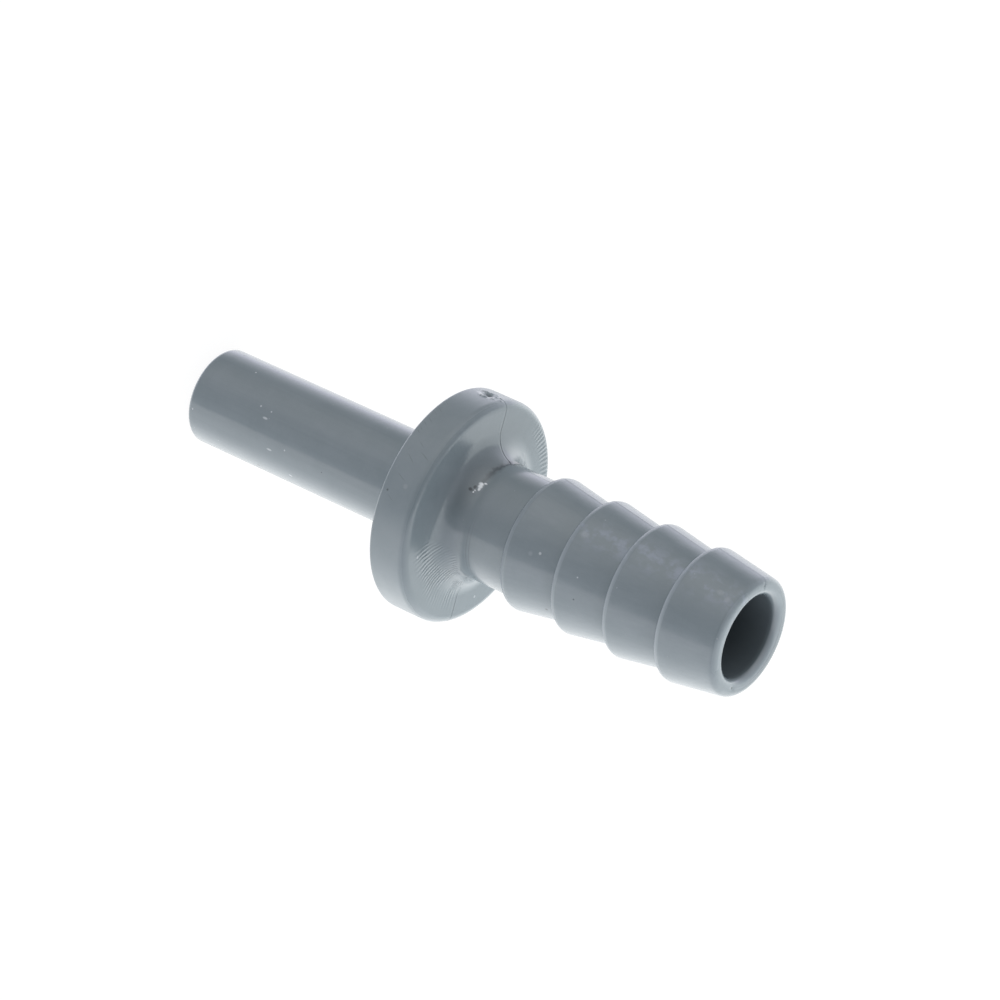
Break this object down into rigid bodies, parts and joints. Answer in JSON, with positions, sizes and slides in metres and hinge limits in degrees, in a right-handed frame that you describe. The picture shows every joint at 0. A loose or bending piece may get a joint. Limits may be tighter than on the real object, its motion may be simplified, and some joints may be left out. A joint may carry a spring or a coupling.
{
  "type": "stem to barb connector",
  "caption": "Straight plastic connector with a plain stem for a push-in tube fitting, a wide collar and a barbed hose tail, bored right through.",
  "frame": {"origin": "centre of the stem's end face, on the bore's axis", "axes": "+Z along the bore from the stem's end to the barb's mouth; -X through the gate mark on the collar, in the mould's parting plane"},
  "size_m": [0.0148, 0.0148, 0.0422],
  "materials": {
    "connector": "semi-gloss grey acetal, as moulded"
  },
  "bodies": {
    "root": {"connector": "connector"}
  },
  "joints": []
}
